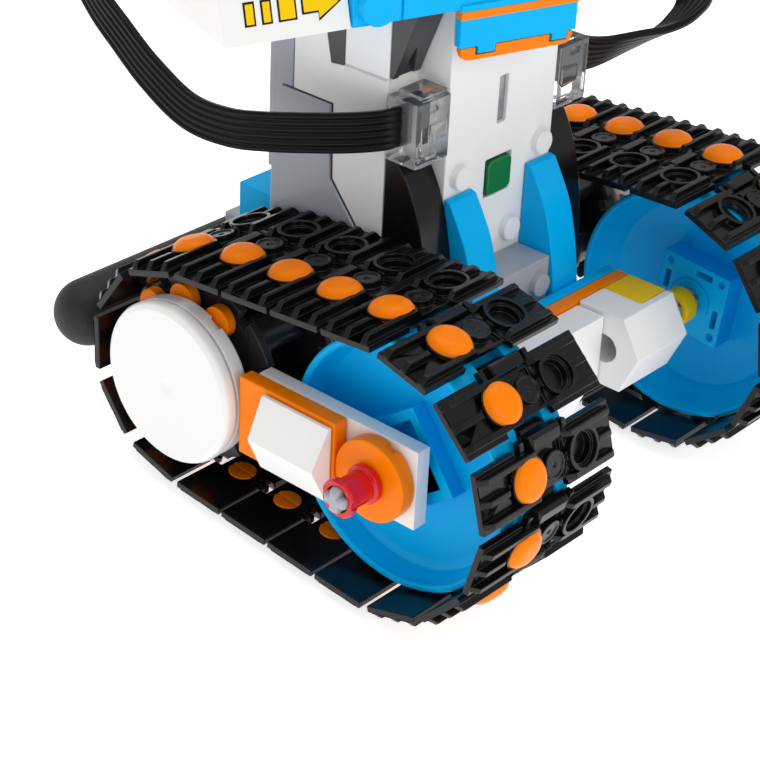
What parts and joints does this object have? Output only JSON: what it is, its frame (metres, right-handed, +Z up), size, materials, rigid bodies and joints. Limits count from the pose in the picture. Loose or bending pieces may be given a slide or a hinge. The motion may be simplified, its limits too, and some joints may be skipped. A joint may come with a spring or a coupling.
{
  "type": "tracked educational coding robot",
  "caption": "Tracked brick-built coding robot: two belts over wheels and sprockets, a hub with button and cable ports, and a turning upper body with head and raised arms.",
  "frame": {"origin": "on the floor, under the middle of the robot's box without its two cables", "axes": "+Z up, the robot faces -Y, +X is its left side"},
  "size_m": [0.1425, 0.1424, 0.1763],
  "materials": {
    "white_plastic": "glossy moulded plastic",
    "black_plastic": "glossy moulded plastic",
    "dark_grey_plastic": "glossy moulded plastic",
    "light_grey_plastic": "satin moulded plastic",
    "azure_plastic": "glossy moulded plastic",
    "orange_plastic": "glossy moulded plastic",
    "coral_plastic": "glossy moulded plastic",
    "yellow_plastic": "glossy moulded plastic",
    "red_plastic": "glossy, slightly translucent plastic",
    "green_plastic": "satin moulded plastic",
    "circuit_green": "matt circuit board laminate",
    "clear_plastic": "clear moulded plastic",
    "motor_steel": "drawn steel cans",
    "black_foam": "matt black soft-skinned tube",
    "cable_sheath": "satin extruded sheath"
  },
  "bodies": {
    "chassis": {"track_right": "black_plastic", "track_left": "black_plastic", "side_beam_right": "white_plastic", "side_beam_left": "white_plastic", "side_plate_right": "orange_plastic", "side_plate_left": "orange_plastic", "round_plate_right": "orange_plastic", "round_plate_left": "orange_plastic", "armour_wedge_right": "white_plastic", "armour_wedge_left": "white_plastic", "hub_front_shell": "white_plastic", "hub_rear_shell": "light_grey_plastic", "battery_cover": "light_grey_plastic", "battery_pack": "dark_grey_plastic", "circuit_board": "circuit_green", "drive_motor_right": "motor_steel", "drive_motor_left": "motor_steel", "status_window": "clear_plastic", "front_fin_right": "azure_plastic", "front_fin_left": "azure_plastic", "side_fin_right": "black_plastic", "side_fin_left": "black_plastic", "top_slope_right": "dark_grey_plastic", "top_slope_left": "dark_grey_plastic", "stud_bracket": "light_grey_plastic", "rear_block": "azure_plastic", "front_bar": "azure_plastic", "front_bar_plate": "orange_plastic", "bumper_block": "white_plastic", "bar_tile_right": "yellow_plastic", "bar_tile_left": "yellow_plastic", "bumper_wedge_right": "white_plastic", "bumper_wedge_left": "white_plastic", "rear_bumper": "black_foam", "bumper_bracket": "light_grey_plastic", "neck_motor": "white_plastic", "port_plug_right": "clear_plastic", "port_plug_left": "clear_plastic", "ribbon_cable_right": "cable_sheath", "ribbon_cable_left": "cable_sheath"},
    "wheel_right": {"front_wheel_right": "azure_plastic", "front_axle_right": "light_grey_plastic", "axle_bush_right": "red_plastic"},
    "wheel_left": {"front_wheel_left": "azure_plastic", "front_axle_left": "light_grey_plastic", "axle_bush_left": "red_plastic"},
    "drive_right": {"sprocket_right": "light_grey_plastic", "rear_disc_right": "white_plastic"},
    "drive_left": {"sprocket_left": "light_grey_plastic", "rear_disc_left": "white_plastic"},
    "upper_body": {"shoulder_deck": "azure_plastic", "chest_plate": "orange_plastic", "shoulder_panel_right": "white_plastic", "shoulder_panel_left": "white_plastic", "torso_block": "white_plastic", "head_shell": "white_plastic", "face_visor": "dark_grey_plastic"},
    "arm_right": {"arm_right": "coral_plastic"},
    "arm_left": {"arm_left": "coral_plastic"},
    "button": {"power_button": "green_plastic"}
  },
  "joints": [
    {"name": "drive_spin_right", "type": "hinge", "parent": "chassis", "child": "drive_right", "pos_m": [-0.05, 0.01815, 0.02533], "axis": [1, 0, 0], "continuous": true},
    {"name": "idler_spin_right", "type": "hinge", "parent": "chassis", "child": "wheel_right", "pos_m": [-0.05, -0.02967, 0.02953], "axis": [1, 0, 0], "continuous": true},
    {"name": "drive_spin_left", "type": "hinge", "parent": "chassis", "child": "drive_left", "pos_m": [0.05, 0.01815, 0.02533], "axis": [1, 0, 0], "continuous": true},
    {"name": "idler_spin_left", "type": "hinge", "parent": "chassis", "child": "wheel_left", "pos_m": [0.05, -0.02967, 0.02953], "axis": [1, 0, 0], "continuous": true},
    {"name": "waist_turn", "type": "hinge", "parent": "chassis", "child": "upper_body", "pos_m": [0, 0.01232, 0.09612], "axis": [0, 0.0875, 0.9962], "range_deg": [-1.5, 38.5]},
    {"name": "shoulder_right", "type": "hinge", "parent": "upper_body", "child": "arm_right", "pos_m": [-0.06134, 0.02593, 0.11299], "axis": [0.9483, -0.3161, 0.0278], "range_deg": [-20, 100]},
    {"name": "shoulder_left", "type": "hinge", "parent": "upper_body", "child": "arm_left", "pos_m": [0.05626, -0.01326, 0.11643], "axis": [0.9483, -0.3161, 0.0278], "range_deg": [-20, 100]},
    {"name": "button_press", "type": "slide", "parent": "chassis", "child": "button", "axis": [0, 0.9962, -0.0875], "range_m": [0, 0.0008], "stiffness_N_per_m": 1500, "springref_m": -0.0002}
  ],
  "couplings": [
    {"joint": "idler_spin_right", "follows": "drive_spin_right", "ratio": 0.82002},
    {"joint": "idler_spin_left", "follows": "drive_spin_left", "ratio": 0.82002}
  ]
}
